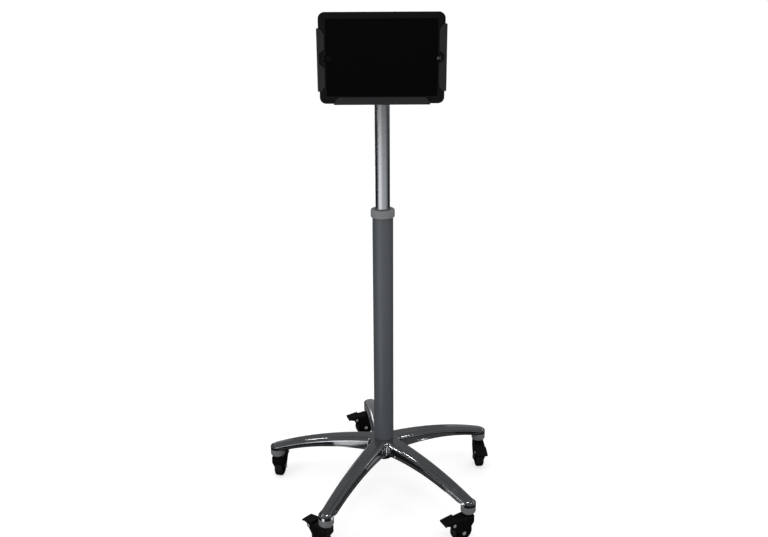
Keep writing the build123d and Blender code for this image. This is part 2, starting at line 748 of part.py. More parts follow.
# Tray: a C-shaped fold for the sides and a U-shaped fold for the bottom, on one back panel
with BuildPart() as tray:
    with BuildSketch(Plane.XY.offset(tilt_z + side_bottom)):
        with Locations((0, tray_mid_y)):
            RectangleRounded(2 * tray_half_w, tray_depth, BEND_R)
            RectangleRounded(
                2 * (tray_half_w - SHEET_T), tray_depth - 2 * SHEET_T, BEND_R - SHEET_T, mode=Mode.SUBTRACT
            )
    extrude(amount=right_top - side_bottom)
    with BuildSketch(Plane.YZ):
        with Locations((tray_mid_y, tilt_z + tray_bottom)):
            Rectangle(tray_depth, BOTTOM_LIP_H, align=(Align.CENTER, Align.MIN))
            fillet(vertices().group_by(Axis.Y)[0], radius=BEND_R)
        with Locations((tray_mid_y, tilt_z + tray_inner_bottom)):
            Rectangle(
                tray_depth - 2 * SHEET_T, CASE_H, align=(Align.CENTER, Align.MIN), mode=Mode.SUBTRACT
            )
    extrude(amount=bottom_lip_half, both=True)
    with BuildSketch(facing(panel_back_y)):
        with BuildLine():
            Polyline(
                (-bottom_lip_half, tray_inner_bottom),
                (bottom_lip_half, tray_inner_bottom),
                (bottom_lip_half, (tray_inner_bottom + side_bottom) / 2),
                (tray_half_w - BEND_R, side_bottom),
                (tray_half_w - BEND_R, left_top),
                (tray_half_w - PANEL_CUT_W, panel_top),
                (PANEL_CUT_W - tray_half_w, panel_top),
                (BEND_R - tray_half_w, left_top),
                (BEND_R - tray_half_w, side_bottom),
                (-bottom_lip_half, (tray_inner_bottom + side_bottom) / 2),
                close=True,
            )
        make_face()
    extrude(amount=SHEET_T)
    with BuildSketch(lip_plane):
        with Locations((-tray_half_w, left_top)):
            Rectangle(2 * LIP_REACH, right_top - left_top + REST_GAP, align=(Align.CENTER, Align.MIN))
    extrude(amount=-(tray_depth + 2 * REST_GAP), mode=Mode.SUBTRACT)
    with BuildSketch(lip_plane):
        Rectangle(2 * flange_x, 2 * CASE_H)
        add(left_lip + right_lip + bottom_lip.sketch, mode=Mode.SUBTRACT)
    extrude(amount=-(SHEET_T + 2 * REST_GAP), mode=Mode.SUBTRACT)
    with BuildSketch(facing(panel_back_y)):
        with GridLocations(SCREW_SQUARE_W, SCREW_SQUARE_W, 2, 2):
            Circle(SCREW_D / 2 + FIT_GAP)
        with GridLocations(FREE_SQUARE_W, FREE_SQUARE_W, 2, 2):
            Circle(FREE_HOLE_D / 2)
    extrude(amount=SHEET_T, mode=Mode.SUBTRACT)
save(tray, "tray")

with BuildPart() as tray_screws:
    with BuildSketch(facing(plate_back_y)):
        with GridLocations(SCREW_SQUARE_W, SCREW_SQUARE_W, 2, 2):
            Circle(SCREW_D / 2)
    extrude(amount=PLATE_T + SHEET_T)
    with BuildSketch(facing(plate_back_y)):
        with GridLocations(SCREW_SQUARE_W, SCREW_SQUARE_W, 2, 2):
            Circle(SCREW_HEAD_D / 2)
    extrude(amount=-SCREW_HEAD_H)
    fillet(faces().sort_by(Axis.Y)[-4:].edges(), radius=SCREW_HEAD_ROUND)
save(tray_screws, "tray_screws")

with BuildPart() as tray_liner:
    with BuildSketch(facing(panel_front_y)):
        with Locations((0, (left_top + side_bottom) / 2)):
            Rectangle(2 * (tray_half_w - SHEET_T - LINER_MARGIN), left_top - side_bottom)
        with GridLocations(FREE_SQUARE_W, FREE_SQUARE_W, 2, 2):
            Circle(FREE_HOLE_D / 2 + REST_GAP, mode=Mode.SUBTRACT)
    extrude(amount=LINER_T)
    for side in (-1, 1):
        with BuildSketch(Plane.XY.offset(tilt_z + side_bottom)):
            with Locations((side * (tray_half_w - SHEET_T - SIDE_LINER_T / 2), tray_mid_y)):
                Rectangle(SIDE_LINER_T, tray_depth - 2 * BEND_R)
        extrude(amount=left_top - side_bottom)
save(tray_liner, "tray_liner")

# Tablet case: soft bumper with a window, cut wider at the home button and the camera
cavity_w = tablet_w + 2 * TABLET_PLAY
cavity_h = tablet_h + 2 * TABLET_PLAY
with BuildPart() as tablet_case:
    with BuildSketch(facing(case_back_y)):
        RectangleRounded(CASE_W, CASE_H, CASE_CORNER_R)
    extrude(amount=CASE_T)
    fillet(faces().sort_by(Axis.Y)[0].edges() + faces().sort_by(Axis.Y)[-1].edges(), radius=CASE_EDGE_R)
    with BuildSketch(facing(case_front_y + CASE_RIM_T)):
        RectangleRounded(cavity_w, cavity_h, TABLET_CORNER_R)
    extrude(amount=-(TABLET_T + 2 * TABLET_PLAY), mode=Mode.SUBTRACT)
    with BuildSketch(facing(case_front_y + CASE_RIM_T)):
        with Locations((0, WINDOW_RISE)):
            RectangleRounded(
                CASE_W - 2 * WINDOW_END_BORDER, CASE_H - 2 * WINDOW_SIDE_BORDER, WINDOW_CORNER_R
            )
        with Locations((home_x, 0)):
            Circle(HOME_CUT_R)
        with Locations((camera_x, 0)):
            Circle(CAMERA_CUT_R)
    extrude(amount=CASE_RIM_T, mode=Mode.SUBTRACT)
save(tablet_case, "tablet_case")

with BuildPart() as tablet_shell:
    with BuildSketch(facing(tablet_back_y)):
        RectangleRounded(tablet_w, tablet_h, TABLET_CORNER_R)
    extrude(amount=TABLET_T)
    fillet(faces().sort_by(Axis.Y)[-1].edges(), radius=TABLET_EDGE_R)
    with BuildSketch(facing(glass_back_y)):
        RectangleRounded(
            tablet_w - 2 * GLASS_BORDER + 2 * FIT_GAP,
            tablet_h - 2 * GLASS_BORDER + 2 * FIT_GAP,
            TABLET_CORNER_R - GLASS_BORDER,
        )
    extrude(amount=GLASS_T, mode=Mode.SUBTRACT)
    with BuildSketch(facing(glass_back_y)):
        with Locations((home_x, 0)):
            Circle(HOME_D / 2 + HOME_PLAY)
    extrude(amount=-(HOME_T - GLASS_T + HOME_TRAVEL + REST_GAP), mode=Mode.SUBTRACT)
save(tablet_shell, "tablet_shell")

with BuildPart() as tablet_glass:
    with BuildSketch(facing(glass_back_y)):
        RectangleRounded(
            tablet_w - 2 * GLASS_BORDER, tablet_h - 2 * GLASS_BORDER, TABLET_CORNER_R - GLASS_BORDER
        )
        with Locations((home_x, 0)):
            Circle(HOME_D / 2 + HOME_PLAY, mode=Mode.SUBTRACT)
        with Locations((camera_x, 0)):
            Circle(CAMERA_D / 2 + FIT_GAP, mode=Mode.SUBTRACT)
    extrude(amount=GLASS_T)
save(tablet_glass, "tablet_glass")

with BuildPart() as camera_lens:
    with BuildSketch(facing(glass_back_y)):
        with Locations((camera_x, 0)):
            Circle(CAMERA_D / 2)
    extrude(amount=GLASS_T)
save(camera_lens, "camera_lens")

with BuildPart() as home_button:
    with BuildSketch(facing(glass_front_y)):
        with Locations((home_x, 0)):
            Circle(HOME_D / 2)
    extrude(amount=-HOME_T)
save(home_button, "home_button")

# Caster pieces, drawn once with the stem on the Z axis and the wheel trailing along +X
side_view = Plane.XZ
axle_line = Axis((TRAIL, 0, axle_z), (0, 1, 0))
wheel_section = Plane(origin=(TRAIL, 0, axle_z), x_dir=(0, 1, 0), z_dir=(1, 0, 0))
rim_out_r = wheel_r - TYRE_T
axle_r = AXLE_D / 2
pin_r = PEDAL_PIN_D / 2

with BuildPart() as tyre:
    with BuildSketch(wheel_section):
        with Locations((0, wheel_r - TYRE_T / 2)):
            Rectangle(WHEEL_W, TYRE_T)
        fillet(vertices().group_by(Axis.Y)[-1], radius=TYRE_T - TREAD_SHOULDER_H)
    revolve(axis=axle_line)

with BuildPart() as wheel_core:
    with BuildSketch(wheel_section):
        with Locations((0, rim_out_r - RIM_T / 2)):
            Rectangle(WHEEL_W - 2 * RIM_INSET, RIM_T)
        with Locations((0, (rim_out_r + axle_r + FIT_GAP) / 2)):
            Rectangle(WEB_T, rim_out_r - axle_r - FIT_GAP)
        with Locations((0, (WHEEL_HUB_D / 2 + axle_r + FIT_GAP) / 2)):
            Rectangle(WHEEL_W + 2 * WHEEL_HUB_PROUD, WHEEL_HUB_D / 2 - axle_r - FIT_GAP)
    revolve(axis=axle_line)


def cheek_pin(x, z, r):
    """Pin across both cheeks of the hood, with a rounded head on each side."""
    half_length = cheek_half_w + PIN_BOSS_H
    with BuildPart() as pin:
        with BuildSketch(side_view):
            with Locations((x, z)):
                Circle(r)
        extrude(amount=half_length, both=True)
        for side in (-1, 1):
            with BuildSketch(side_view.offset(side * half_length)):
                with Locations((x, z)):
                    Circle(r + PIN_HEAD_OVER)
            extrude(amount=side * PIN_HEAD_T)
        heads = faces().sort_by(Axis.Y)
        fillet(heads[0].edges() + heads[-1].edges(), radius=PIN_HEAD_ROUND)
    return pin


axle = cheek_pin(TRAIL, axle_z, axle_r)
pedal_pin = cheek_pin(pivot_x, pivot_z, pin_r)

# Hood: the hull of neck, axle eyes and pedal ears, hollowed for the wheel and slotted for the pedal
hood_top_z = neck_top_z - NECK_RING_H
slot_start_x = pivot_x - PEDAL_REAR - PEDAL_SLOT_PLAY
with BuildPart() as fork:
    with BuildSketch(side_view):
        with Locations((TRAIL, axle_z)):
            Circle(AXLE_EYE_R)
        with Locations((pivot_x, pivot_z)):
            Circle(EAR_R)
        with Locations((0, hood_top_z)):
            Rectangle(NECK_D, NECK_H, align=(Align.CENTER, Align.MAX))
        make_hull()
    extrude(amount=cheek_half_w, both=True)
    flanks = faces().sort_by(Axis.Y)
    fillet(flanks[0].edges() + flanks[-1].edges(), radius=CHEEK_T - HOOD_EDGE_FLAT)
    for side in (-1, 1):
        with BuildSketch(side_view.offset(side * cheek_half_w)):
            with Locations((TRAIL, axle_z)):
                Circle(axle_r + PIN_BOSS_T)
            with Locations((pivot_x, pivot_z)):
                Circle(pin_r + PIN_BOSS_T)
        extrude(amount=side * PIN_BOSS_H)
    with BuildSketch(Plane.XY.offset(hood_top_z)):
        Circle(NECK_RING_D / 2)
    extrude(amount=NECK_RING_H)
    with BuildSketch(side_view):
        with Locations((TRAIL, axle_z)):
            Circle(hood_inner_r)
            Rectangle(2 * hood_inner_r, 2 * hood_inner_r, align=(Align.CENTER, Align.MAX))
        with Locations((slot_start_x, axle_z)):
            Rectangle(2 * pivot_reach, 2 * pivot_reach, align=(Align.MIN, Align.MIN))
    extrude(amount=cavity_half_w, both=True, mode=Mode.SUBTRACT)
    with BuildSketch(side_view):
        with Locations((TRAIL, axle_z)):
            Circle(axle_r + FIT_GAP)
        with Locations((pivot_x, pivot_z)):
            Circle(pin_r + FIT_GAP)
    extrude(amount=2 * cheek_half_w, both=True, mode=Mode.SUBTRACT)
    with BuildSketch(Plane.XY.offset(axle_z)):
        Circle(SWIVEL_PIN_D / 2 + FIT_GAP)
    extrude(amount=neck_top_z, mode=Mode.SUBTRACT)

# Pedal: the nose meets the tread at full throw, so its place at rest is turned back by the throw
lock_reach = wheel_r + NOSE_R + BRAKE_GAP
nose_turn = acos((pivot_reach**2 + NOSE_REACH**2 - lock_reach**2) / (2 * pivot_reach * NOSE_REACH))
nose_angle = pi + radians(PIVOT_ANGLE) + nose_turn + radians(PEDAL_THROW)
nose_x = pivot_x + NOSE_REACH * cos(nose_angle)
nose_z = pivot_z + NOSE_REACH * sin(nose_angle)
slope = radians(-PEDAL_SLOPE)
pedal_plane = Plane(origin=(pivot_x, 0, pivot_z), x_dir=(cos(slope), 0, sin(slope)), z_dir=(0, -1, 0))
plate_low = EAR_R + PEDAL_GAP
with BuildPart() as pedal:
    with BuildSketch(pedal_plane):
        with Locations((-PEDAL_REAR, plate_low)):
            Rectangle(PEDAL_REAR + PEDAL_FRONT, PEDAL_T, align=(Align.MIN, Align.MIN))
        with BuildLine():
            Polyline(
                (PEDAL_FRONT, plate_low + PEDAL_T / 2),
                (PEDAL_FRONT, plate_low + PEDAL_T - PEDAL_LIP_DROP),
                (PEDAL_FRONT - PEDAL_LIP_T / 2, plate_low + PEDAL_T - PEDAL_LIP_DROP),
                (PEDAL_FRONT - 2 * PEDAL_LIP_T, plate_low + PEDAL_T / 2),
                close=True,
            )
        make_face()
    extrude(amount=PEDAL_W / 2, both=True)
    front = faces().sort_by(Axis((pivot_x, 0, pivot_z), pedal_plane.x_dir))[-1]
    fillet(front.edges().filter_by(Axis.Y, reverse=True), radius=PEDAL_CORNER_R)
    with BuildSketch(pedal_plane):
        with BuildLine():
            Polyline(
                (-PEDAL_HUB_R, 0),
                (-PEDAL_HUB_R, plate_low + PEDAL_T / 2),
                (PEDAL_FRONT - PEDAL_LIP_T, plate_low + PEDAL_T / 2),
                (PEDAL_FRONT - PEDAL_LIP_T, plate_low - PEDAL_T),
                (PEDAL_HUB_R, -PEDAL_HUB_R / 2),
                close=True,
            )
        make_face()
    extrude(amount=cavity_half_w - PEDAL_SIDE_GAP, both=True)
    with BuildSketch(side_view):
        with Locations((pivot_x, pivot_z)):
            Circle(PEDAL_HUB_R)
        with Locations((nose_x, nose_z)):
            Circle(NOSE_R)
        make_hull()
        with Locations((pivot_x, pivot_z)):
            Circle(PEDAL_HUB_R)
    extrude(amount=cavity_half_w - PEDAL_SIDE_GAP, both=True)
    with BuildSketch(side_view):
        with Locations((pivot_x, pivot_z)):
            Circle(pin_r + FIT_GAP)
    extrude(amount=PEDAL_W, both=True, mode=Mode.SUBTRACT)

# Stem: press shank in the arm's boss, flange against it, and the pin that the fork turns on
with BuildPart() as stem:
    with BuildSketch(Plane.XZ):
        with BuildLine():
            Polyline(
                (0, neck_top_z - SWIVEL_PIN_LENGTH),
                (SWIVEL_PIN_D / 2, neck_top_z - SWIVEL_PIN_LENGTH),
                (SWIVEL_PIN_D / 2, neck_top_z + REST_GAP),
                (SWIVEL_FLANGE_D / 2, neck_top_z + REST_GAP),
                (SWIVEL_FLANGE_D / 2, boss_z),
                (STEM_D / 2, boss_z),
                (STEM_D / 2, boss_z + STEM_LENGTH - STEM_TIP_CHAMFER),
                (STEM_D / 2 - STEM_TIP_CHAMFER, boss_z + STEM_LENGTH),
                (0, boss_z + STEM_LENGTH),
                close=True,
            )
        make_face()
    revolve(axis=Axis.Z)

caster_pieces = {
    "stem": stem,
    "fork": fork,
    "axle": axle,
    "wheel_core": wheel_core,
    "tyre": tyre,
    "pedal": pedal,
    "pedal_pin": pedal_pin,
}
for number in range(ARM_COUNT):
    arm_angle = radians(FIRST_ARM_ANGLE + number * 360 / ARM_COUNT)
    stem_place = (CASTER_CIRCLE_R * cos(arm_angle), CASTER_CIRCLE_R * sin(arm_angle), 0)
    for name, piece in caster_pieces.items():
        with BuildPart() as placed:
            with Locations(Location(stem_place, (0, 0, TRAILS[number % len(TRAILS)]))):
                add(piece.part)
        save(placed, f"{name}_{number + 1}")
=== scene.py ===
# %% [markdown]
# # A rolling tablet stand
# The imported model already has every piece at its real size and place. This lesson gives each piece
# its finish, adds the small things that a maker would see up close, and sets up the studio: a
# camera where the photographer stood, plain soft lamps, and a pale floor.

import json
from math import radians

import bmesh
import bpy
import numpy as np
from mathutils import Matrix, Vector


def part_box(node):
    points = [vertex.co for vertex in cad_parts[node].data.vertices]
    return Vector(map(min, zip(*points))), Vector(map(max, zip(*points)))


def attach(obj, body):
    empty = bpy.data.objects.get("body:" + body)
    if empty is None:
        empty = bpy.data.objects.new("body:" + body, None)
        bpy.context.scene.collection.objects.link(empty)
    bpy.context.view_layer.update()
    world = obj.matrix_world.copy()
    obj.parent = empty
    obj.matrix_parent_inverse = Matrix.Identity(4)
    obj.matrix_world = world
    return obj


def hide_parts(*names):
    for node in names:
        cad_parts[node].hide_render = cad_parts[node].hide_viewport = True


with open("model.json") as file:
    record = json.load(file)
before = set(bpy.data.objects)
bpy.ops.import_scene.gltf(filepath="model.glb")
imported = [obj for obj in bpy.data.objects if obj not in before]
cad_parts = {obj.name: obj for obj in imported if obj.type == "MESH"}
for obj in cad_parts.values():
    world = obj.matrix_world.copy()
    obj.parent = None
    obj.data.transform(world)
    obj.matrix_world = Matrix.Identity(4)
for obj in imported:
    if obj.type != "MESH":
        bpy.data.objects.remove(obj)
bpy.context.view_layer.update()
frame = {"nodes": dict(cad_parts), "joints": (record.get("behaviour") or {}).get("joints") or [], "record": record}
nodes = frame["nodes"]
joints = {joint["name"]: joint for joint in frame["joints"]}
slot_of = {part["node"]: part["material_slot"] for part in frame["record"]["subparts"]}

# %% [markdown]
# ## The camera
# The photographer stood about 1.8 m in front of the column and looked a little down. The focal
# length in pixels, the camera's place and its three turns in radians were worked out from where the
# casters, the column and the tablet stand in the picture. A camera can also be set by eye, but a
# worked out one lets every other difference be seen for what it is.

# %% Camera
PHOTO_WIDTH = 768
FOCAL_PIXELS = 849.5
SENSOR_WIDTH = 36.0
CAMERA_PLACE = (-0.0005, -1.8286, 1.2368)
PITCH, YAW, ROLL = 0.34239, 0.00148, -0.00514

camera_data = bpy.data.cameras.new("photo_camera")
camera_data.sensor_width = SENSOR_WIDTH
camera_data.lens = FOCAL_PIXELS / PHOTO_WIDTH * SENSOR_WIDTH
camera = bpy.data.objects.new("photo_camera", camera_data)
heading, tilt, lean = (Matrix.Rotation(angle, 4, axis) for angle, axis in
                       ((-YAW, "Z"), (radians(90) - PITCH, "X"), (ROLL, "Z")))
camera.matrix_world = Matrix.Translation(CAMERA_PLACE) @ heading @ tilt @ lean
bpy.context.scene.collection.objects.link(camera)
bpy.context.scene.camera = camera
bpy.context.scene.view_settings.view_transform = "Standard"
print("lens", round(camera_data.lens, 2), "mm")

# %% [markdown]
# ## Short words for wiring
# A material is a net of small nodes, and most of its lines only say which socket feeds which. These
# helpers say that in one line each. A socket takes either a plain value or another node's result.

# %% Wiring helpers
def feed(tree, socket, value):
    """Links the socket to another node's result, or sets it to a plain value."""
    if isinstance(value, bpy.types.NodeSocket):
        tree.links.new(value, socket)
    else:
        socket.default_value = value


def maths(tree, operation, first, second):
    """The result of one operation on two numbers."""
    node = tree.nodes.new("ShaderNodeMath")
    node.operation = operation
    feed(tree, node.inputs[0], first)
    feed(tree, node.inputs[1], second)
    return node.outputs[0]


def rescaled(tree, value, old, new=(0.0, 1.0)):
    """The value carried in a straight line from the old range to the new one, held at both ends."""
    node = tree.nodes.new("ShaderNodeMapRange")
    feed(tree, node.inputs["Value"], value)
    for socket, number in zip(("From Min", "From Max", "To Min", "To Max"), (*old, *new)):
        feed(tree, node.inputs[socket], number)
    return node.outputs[0]


def mixed(tree, kind, share, first, second):
    """The first colour or number, changed into the second by the share."""
    node = tree.nodes.new("ShaderNodeMix")
    node.data_type = kind
    for socket, value in (("Factor", share), ("A", first), ("B", second)):
        feed(tree, node.inputs[socket], value)
    return node.outputs["Result"]


def bare_material(name):
    """A new material with nothing in it but its output: the material, its net, and the socket."""
    material = bpy.data.materials.new(name)
    material.use_nodes = True
    tree = material.node_tree
    tree.nodes.clear()
    return material, tree, tree.nodes.new("ShaderNodeOutputMaterial").inputs["Surface"]


print("wiring helpers ready")

# %% [markdown]
# ## The white room
# The stand was photographed before pure white. The world is a plain white room that lights
# everything evenly, and looks a little brighter to the eye than the light that it gives. Lamps on a
# backdrop could whiten it too, but their light would come back on the dark stand.

# %% White room
ROOM_LIGHT = 0.78
ROOM_SEEN = 1.0
WHITE = (1, 1, 1, 1)


def seen_by_eye(tree):
    """One for rays from the camera, off a shiny surface or through glass, nought for the rest: the
    greatest of the three marks that such a ray carries."""
    ray = tree.nodes.new("ShaderNodeLightPath").outputs
    direct_or_shiny = maths(tree, "MAXIMUM", ray["Is Camera Ray"], ray["Is Glossy Ray"])
    return maths(tree, "MAXIMUM", direct_or_shiny, ray["Is Transmission Ray"])


def background(tree, strength):
    """Even white light of one strength from all sides."""
    node = tree.nodes.new("ShaderNodeBackground")
    feed(tree, node.inputs["Color"], WHITE)
    feed(tree, node.inputs["Strength"], strength)
    return node.outputs[0]


world = bpy.data.worlds.new("white_room")
world.use_nodes = True
tree = world.node_tree
tree.nodes.clear()
pick = tree.nodes.new("ShaderNodeMixShader")
for socket, value in zip(pick.inputs, (seen_by_eye(tree), background(tree, ROOM_LIGHT),
                                       background(tree, ROOM_SEEN))):
    feed(tree, socket, value)
feed(tree, tree.nodes.new("ShaderNodeOutputWorld").inputs["Surface"], pick.outputs[0])
bpy.context.scene.world = world
print("the room lights with", ROOM_LIGHT, "and looks like", ROOM_SEEN)

# %% [markdown]
# ## The floor
# The floor is pale and shows a soft shadow. Part of its brightness is its own, seen by the camera
# and in reflections alone, so it comes out white without more light on the stand. A brighter lamp
# would whiten it too, but would also wash out the black plastic.

# %% Floor
FLOOR_HALF = 40.0
FLOOR_ALBEDO = 0.55
FLOOR_OWN_LIGHT = 0.60


def grid_mesh(name, points, close_around=False, close_along=False):
    """A mesh through a grid of points, rows by columns by xyz: each four neighbours make one face,
    and the last row or column joins the first where the surface closes."""
    rows, columns, _ = points.shape
    index = np.arange(rows * columns).reshape(rows, columns)
    if close_along:
        index = np.concatenate([index, index[:1]], 0)
    if close_around:
        index = np.concatenate([index, index[:, :1]], 1)
    faces = np.stack((index[:-1, :-1], index[1:, :-1], index[1:, 1:], index[:-1, 1:]), -1)
    mesh = bpy.data.meshes.new(name)
    mesh.from_pydata(points.reshape(-1, 3).tolist(), [], faces.reshape(-1, 4).tolist())
    return mesh


def put_in_scene(name, mesh, material):
    """An object at the origin that shows the mesh in one material."""
    mesh.materials.append(material)
    thing = bpy.data.objects.new(name, mesh)
    bpy.context.scene.collection.objects.link(thing)
    return thing


paint, tree, surface = bare_material("pale_floor")
matt = tree.nodes.new("ShaderNodeBsdfDiffuse")
feed(tree, matt.inputs["Color"], (FLOOR_ALBEDO,) * 3 + (1,))
glow = tree.nodes.new("ShaderNodeEmission")
feed(tree, glow.inputs["Strength"], maths(tree, "MULTIPLY", seen_by_eye(tree), FLOOR_OWN_LIGHT))
both = tree.nodes.new("ShaderNodeAddShader")
feed(tree, both.inputs[0], matt.outputs[0])
feed(tree, both.inputs[1], glow.outputs[0])
feed(tree, surface, both.outputs[0])

corner_x, corner_y = np.meshgrid((-FLOOR_HALF, FLOOR_HALF), (-FLOOR_HALF, FLOOR_HALF))
corners = np.stack([corner_x, corner_y, 0 * corner_x], -1)
floor = put_in_scene("floor", grid_mesh("floor", corners), paint)
print("floor", 2 * FLOOR_HALF, "m wide")

# %% [markdown]
# ## The lamps
# Soft lamps stand at both sides and over the front. The four narrow ones are mirrored in the
# polished metal as short white streaks. The two large fill lamps light the matt pieces from the
# front left and right, and are kept out of reflections. One large lamp would be simpler, but would
# lie on the arms as a broad white patch.

# %% Lamps
LAMPS = {
    "left_tower": ((-2.35, -0.5, 1.0), (0.07, 0.7), 1.3),
    "left_high": ((-1.7, -0.15, 2.5), (0.16, 0.36), 2.0),
    "left_fill": ((-1.9, -1.6, 1.6), (0.8, 1.6), 10.0),
    "right_window": ((2.3, -1.25, 1.75), (0.10, 0.30), 1.0),
    "right_fill": ((2.2, -1.3, 2.4), (0.6, 1.2), 5.0),
    "front_strip": ((0.1, -1.6, 3.0), (1.2, 0.25), 9.0),
}
FILL = "_fill"
TARGET = (0, 0, 0.7)


def aim(place, target):
    """The turn that points an object's -Z axis from place to target, with +Y kept up: the back is
    the straight line between them, the side is level and square to it, and up is square to both."""
    back = np.array(place) - np.array(target)
    back /= np.linalg.norm(back)
    side = np.cross((0, 0, 1), back)
    side /= np.linalg.norm(side)
    axes = np.stack([side, np.cross(back, side), back], 1)
    return Matrix.Translation(place) @ Matrix([(*row, 0) for row in axes] + [(0, 0, 0, 1)])


for name, (place, size, power) in LAMPS.items():
    lamp = bpy.data.lights.new(name, "AREA")
    lamp.shape = "RECTANGLE"
    lamp.size, lamp.size_y = size
    lamp.energy = power
    holder = bpy.data.objects.new(name, lamp)
    holder.matrix_world = aim(place, TARGET)
    holder.visible_glossy = not name.endswith(FILL)
    bpy.context.scene.collection.objects.link(holder)
print(len(LAMPS), "lamps")

# %% [markdown]
# ## What the metal mirrors
# Polished metal only looks like metal when it has something dark to mirror. So a dark tent hangs
# round the set with a dark cloth under it, and plain light cards lie and stand where the arms and
# the pole mirror something pale. All of these are seen in reflections alone and throw no shadow. A
# photographed room would do the same, but plain shapes can be moved one by one.

# %% Faintly glowing cloth
CLOTH_TINT = np.array((1.0, 1.02, 1.05))
MIDDLE = 0.5


def glowing_cloth(name, levels, height=1.0):
    """A surface with its own light alone. Each level is a share of the height and the strength
    there, and the strength runs straight from one level to the next. A new stop of the ramp starts
    in its middle, until it is moved to its share."""
    cloth, tree, surface = bare_material(name)
    axes = tree.nodes.new("ShaderNodeSeparateXYZ")
    feed(tree, axes.inputs[0], tree.nodes.new("ShaderNodeTexCoord").outputs["Object"])
    ramp = tree.nodes.new("ShaderNodeValToRGB")
    stops = ramp.color_ramp.elements
    while len(stops) < len(levels):
        stops.new(MIDDLE)
    for stop, (share, strength) in zip(stops, levels):
        stop.position = share
        stop.color = (*(strength * CLOTH_TINT), 1)
    feed(tree, ramp.inputs[0], maths(tree, "DIVIDE", axes.outputs["Z"], height))
    light = tree.nodes.new("ShaderNodeEmission")
    feed(tree, light.inputs["Color"], ramp.outputs[0])
    feed(tree, surface, light.outputs[0])
    return cloth


def even(strength):
    """The same strength from the bottom to the top."""
    return (0.0, strength), (1.0, strength)


def only_in_reflections(thing):
    """Hides the thing from the camera and from all light but what shiny surfaces mirror."""
    thing.visible_camera = False
    thing.visible_diffuse = False
    thing.visible_shadow = False
    thing.visible_transmission = False


print("cloth is tinted", CLOTH_TINT.tolist())

# %% [markdown]
# ### The cards
# Each card is bent to a circle round the stand. Its angles are in degrees from straight in front
# and grow to the right. The wide cards in front are mirrored in the pole and in the arms' tops, and
# the small ones near the hub draw the light lines on the arms' flanks. Straight cards would do, but
# a bent one keeps the same distance from the hub all along.

# %% Cards
CLOTH_LIFT = 0.0004
CARD_LIFT = 2 * CLOTH_LIFT
CARD_REACH = 5.2
CARD_STEPS = 24
FLOOR_CARDS = {
    "far_left_floor_card": ((0.95, CARD_REACH), (-78, -62), 0.5),
    "outer_left_floor_card": ((0.95, CARD_REACH), (-62, -44), 1.35),
    "left_floor_card": ((0.55, CARD_REACH), (-44, -16), 1.35),
    "middle_floor_card": ((0.9, CARD_REACH), (-16, 12), 0.75),
    "right_floor_card": ((0.9, CARD_REACH), (12, 58), 0.60),
    "far_right_floor_card": ((0.9, CARD_REACH), (58, 84), 0.28),
    "left_inner_floor_card": ((0.40, 0.55), (-42, -26), 1.2),
    "left_near_floor_card": ((0.252, 0.287), (-50, -20), 0.7),
    "left_root_floor_card": ((0.205, 0.237), (-62, -50), 0.6),
    "hub_floor_card": ((0.185, 0.27), (-8, 20), 0.9),
    "side_floor_card": ((0.115, 0.17), (82, 108), 0.22),
    "right_near_floor_card": ((0.23, 0.35), (56, 86), 0.07),
    "back_floor_card": ((0.5, CARD_REACH), (140, 215), 0.22),
}
STANDING_CARDS = {
    "back_wall_card": (CARD_REACH, (140, 220), (0.0, 1.6), 0.20),
    "right_back_card": (CARD_REACH, (98, 140), (0.45, 1.15), 0.9),
    "back_glint_card": (2.4, (202, 210), (0.0, 0.35), 2.0),
}


def arc_card(name, radii, angles, heights, strength):
    """A card from the first radius and height to the second: at each angle it lies to the right by
    the radius times the sine, and in front by the radius times the cosine."""
    angle = np.radians(np.linspace(*angles, CARD_STEPS))[None, :]
    radius, height = (np.array(pair)[:, None] for pair in (radii, heights))
    points = np.stack([radius * np.sin(angle), -radius * np.cos(angle), height + 0 * angle], -1)
    card = put_in_scene(name, grid_mesh(name, points), glowing_cloth(name, even(strength)))
    only_in_reflections(card)


for name, (radii, angles, strength) in FLOOR_CARDS.items():
    arc_card(name, radii, angles, (CARD_LIFT, CARD_LIFT), strength)
for name, (radius, angles, heights, strength) in STANDING_CARDS.items():
    arc_card(name, (radius, radius), angles, heights, strength)
print(len(FLOOR_CARDS), "cards on the floor,", len(STANDING_CARDS), "standing")

# %% [markdown]
# ### The tent and the cloth
# The tent is a dome that starts upright at its foot and closes at the top, so no ray slips out to
# the white room. It is nearly black at the foot, and grey where the arms' tops mirror it. A box
# would do too, but its corners would show on the round casting as kinks.

# %% Tent and cloth
TENT_RADIUS, TENT_HEIGHT = 5.5, 5.0
TENT_TOP, TENT_RINGS, TENT_PANELS = 0.9999, 25, 48
TENT_LEVELS = ((0.0, 0.035), (0.12, 0.05), (0.35, 0.09), (0.5, 0.125), (0.7, 0.125),
               (0.84, 0.095), (0.9, 0.12), (1.0, 0.08))
CLOTH_INNER_R, CLOTH_RADIUS = 0.0001, 5.45
CLOTH_LEVEL = 0.012
bearing = np.linspace(0, 2 * np.pi, TENT_PANELS, endpoint=False)[None, :]


def hang_round(name, material_name, radius, height, levels, top=1.0):
    """A sheet once round the stand, through each radius at its height: a point lies along X by the
    radius times the cosine of its bearing, and along Y by the radius times the sine."""
    points = np.stack([radius * np.cos(bearing), radius * np.sin(bearing),
                       height + 0 * radius * bearing], -1)
    sheet = grid_mesh(name, points, close_around=True)
    only_in_reflections(put_in_scene(name, sheet, glowing_cloth(material_name, levels, top)))


